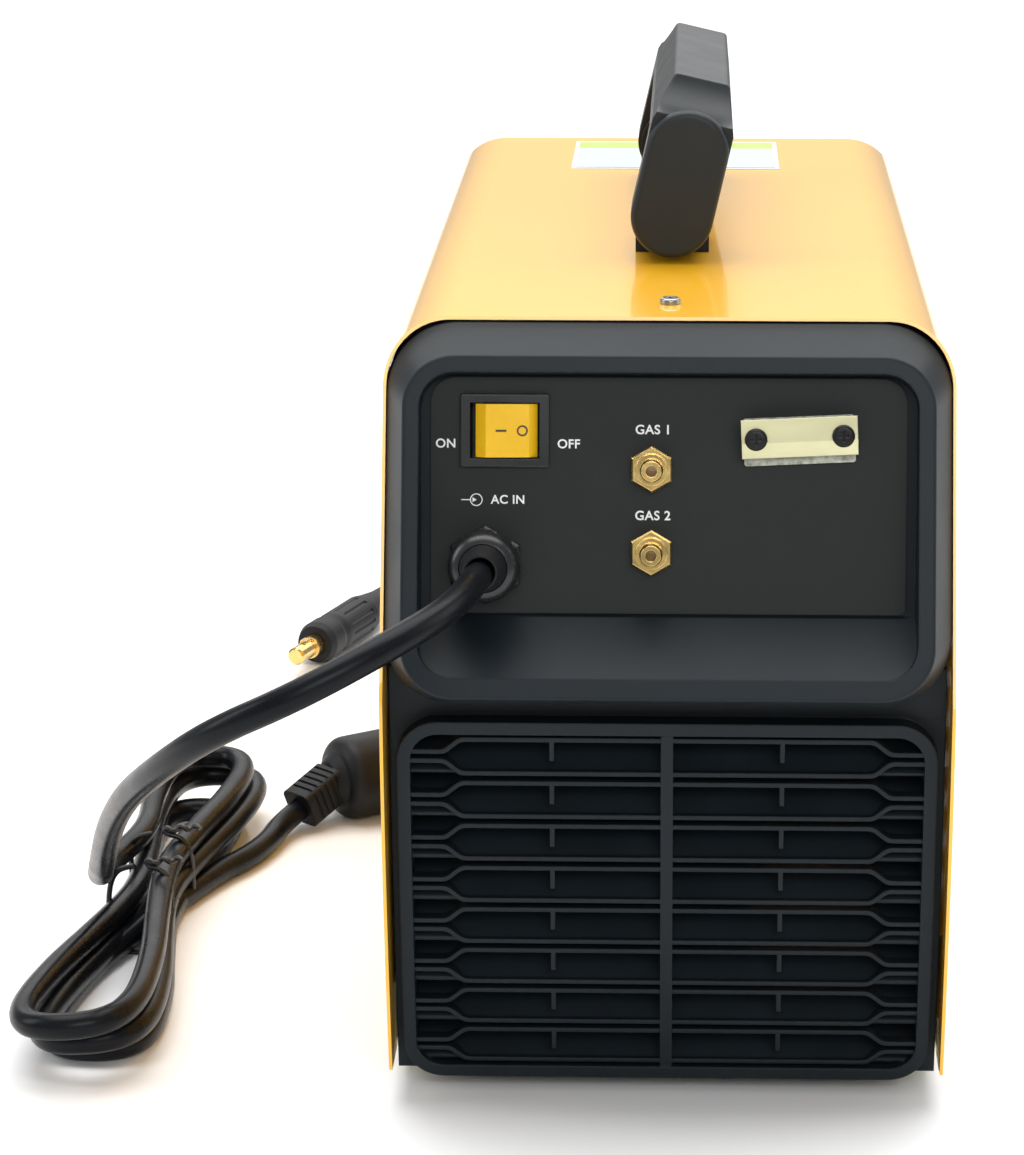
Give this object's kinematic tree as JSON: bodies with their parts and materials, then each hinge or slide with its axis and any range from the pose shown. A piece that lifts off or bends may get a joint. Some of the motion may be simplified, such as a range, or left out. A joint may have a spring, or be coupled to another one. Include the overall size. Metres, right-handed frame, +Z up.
{
  "type": "plasma cutter unit",
  "caption": "Portable inverter for plasma cutting and wire welding: yellow cover, black end mouldings, leaning fold-down handle, gas inlets, rocker switch, grille and tied mains cord.",
  "frame": {"origin": "on the resting plane, under the middle of the housing", "axes": "+Z up, +Y towards the front panel, +X to the right seen from behind"},
  "size_m": [0.3555, 0.7931, 0.3518],
  "materials": {
    "yellow_paint": "glossy yellow powder paint",
    "bezel_plastic": "satin blue-black moulded plastic",
    "panel_film": "fine matt black panel",
    "handle_plastic": "satin black plastic",
    "black_nylon": "black nylon",
    "black_rubber": "matt black rubber",
    "cord_rubber": "smooth black rubber cord",
    "yellow_switch": "yellow rocker plastic",
    "brass": "turned brass",
    "zinc_steel": "zinc-plated sheet steel",
    "black_screw": "black oxide",
    "bright_steel": "nickel-plated steel",
    "label_film": "printed film",
    "display_glass": "smoked display window",
    "button_plastic": "grey button plastic",
    "aluminium": "extruded aluminium",
    "circuit_board": "green circuit board",
    "capacitor_sleeve": "dark blue capacitor sleeve",
    "ferrite_copper": "ferrite and enamelled copper",
    "wire_steel": "coppered welding wire"
  },
  "bodies": {
    "housing": {"cover": "yellow_paint", "rear_upper_bezel": "bezel_plastic", "front_upper_bezel": "bezel_plastic", "rear_grille": "bezel_plastic", "front_lower_panel": "bezel_plastic", "rear_panel": "panel_film", "front_panel": "panel_film", "gland_body": "black_nylon", "gland_nut": "black_nylon", "switch_housing": "black_nylon", "output_sockets": "black_nylon", "plasma_connector": "black_nylon", "fan_frame": "black_nylon", "spool_hub": "black_nylon", "lead_gland": "black_nylon", "cord_sleeve": "black_rubber", "rubber_feet": "black_rubber", "plug_body": "black_rubber", "lead_plug_body": "black_rubber", "mains_cord": "cord_rubber", "mains_cord_hank": "cord_rubber", "mains_cord_tail": "cord_rubber", "polarity_lead": "cord_rubber", "gas_inlets": "brass", "panel_locknuts": "brass", "lead_plug_pin": "brass", "torch_connector": "brass", "clamp_back_plate": "zinc_steel", "clamp_bar": "zinc_steel", "partition": "zinc_steel", "base_tray": "zinc_steel", "handle_brackets": "zinc_steel", "clamp_screws": "black_screw", "cover_screws": "bright_steel", "door_hinge_pins": "bright_steel", "handle_pivot_pins": "bright_steel", "plug_metal": "bright_steel", "top_label": "label_film", "display_window": "display_glass", "heat_sink": "aluminium", "gas_valves": "aluminium", "feed_unit": "aluminium", "main_board": "circuit_board", "capacitors": "capacitor_sleeve", "transformer": "ferrite_copper"},
    "handle": {"handle_grip": "handle_plastic", "handle_end_caps": "handle_plastic"},
    "power_rocker": {"switch_rocker": "yellow_switch"},
    "fan": {"fan_rotor": "black_nylon"},
    "current_knob": {"current_knob": "black_nylon"},
    "wire_speed_knob": {"wire_speed_knob": "black_nylon"},
    "mode_button": {"mode_button": "button_plastic"},
    "gas_test_button": {"gas_test_button": "button_plastic"},
    "door": {"side_door": "yellow_paint"},
    "latch": {"door_latch": "bright_steel"},
    "spool": {"wire_spool": "black_nylon", "wire_winding": "wire_steel"},
    "drive_roll": {"drive_roll": "bright_steel"},
    "pressure_arm": {"pressure_arm": "aluminium"},
    "pressure_roll": {"pressure_roll": "bright_steel"}
  },
  "joints": [
    {"name": "handle_fold", "type": "hinge", "parent": "housing", "child": "handle", "pos_m": [0, 0, 0.3015], "axis": [0, 1, 0], "range_deg": [-93, 67]},
    {"name": "power_switch", "type": "hinge", "parent": "housing", "child": "power_rocker", "pos_m": [-0.0567, -0.22004, 0.24758], "axis": [0, 0.1822, 0.9833], "range_deg": [-16, 0]},
    {"name": "fan_spin", "type": "hinge", "parent": "housing", "child": "fan", "pos_m": [-0.04, -0.19, 0.078], "axis": [0, 1, 0], "continuous": true},
    {"name": "current_knob_turn", "type": "hinge", "parent": "housing", "child": "current_knob", "pos_m": [0.034, 0.23044, 0.2134], "axis": [0, 0.9833, 0.1822], "range_deg": [-135, 135]},
    {"name": "wire_speed_knob_turn", "type": "hinge", "parent": "housing", "child": "wire_speed_knob", "pos_m": [-0.034, 0.23044, 0.2134], "axis": [0, 0.9833, 0.1822], "range_deg": [-135, 135]},
    {"name": "mode_button_press", "type": "slide", "parent": "housing", "child": "mode_button", "axis": [0, -0.9833, -0.1822], "range_m": [0, 0.0012], "stiffness_N_per_m": 250, "springref_m": -0.0004},
    {"name": "gas_test_button_press", "type": "slide", "parent": "housing", "child": "gas_test_button", "axis": [0, -0.9833, -0.1822], "range_m": [0, 0.0012], "stiffness_N_per_m": 250, "springref_m": -0.0004},
    {"name": "door_swing", "type": "hinge", "parent": "housing", "child": "door", "pos_m": [0.0946, 0.1644, 0.126], "axis": [0, 0, 1], "range_deg": [0, 100]},
    {"name": "latch_turn", "type": "hinge", "parent": "door", "child": "latch", "pos_m": [0.0994, -0.1595, 0.078], "axis": [1, 0, 0], "range_deg": [0, 90]},
    {"name": "spool_turn", "type": "hinge", "parent": "housing", "child": "spool", "pos_m": [0.054, -0.09, 0.118], "axis": [1, 0, 0], "continuous": true},
    {"name": "drive_roll_turn", "type": "hinge", "parent": "housing", "child": "drive_roll", "pos_m": [0.046, 0.1, 0.092], "axis": [1, 0, 0], "continuous": true},
    {"name": "pressure_arm_lift", "type": "hinge", "parent": "housing", "child": "pressure_arm", "pos_m": [0.046, 0.136, 0.1228], "axis": [1, 0, 0], "range_deg": [-60, 0]},
    {"name": "pressure_roll_turn", "type": "hinge", "parent": "pressure_arm", "child": "pressure_roll", "pos_m": [0.046, 0.1, 0.1228], "axis": [1, 0, 0], "continuous": true}
  ],
  "couplings": [
    {"joint": "pressure_roll_turn", "follows": "drive_roll_turn", "ratio": -1.0135}
  ]
}
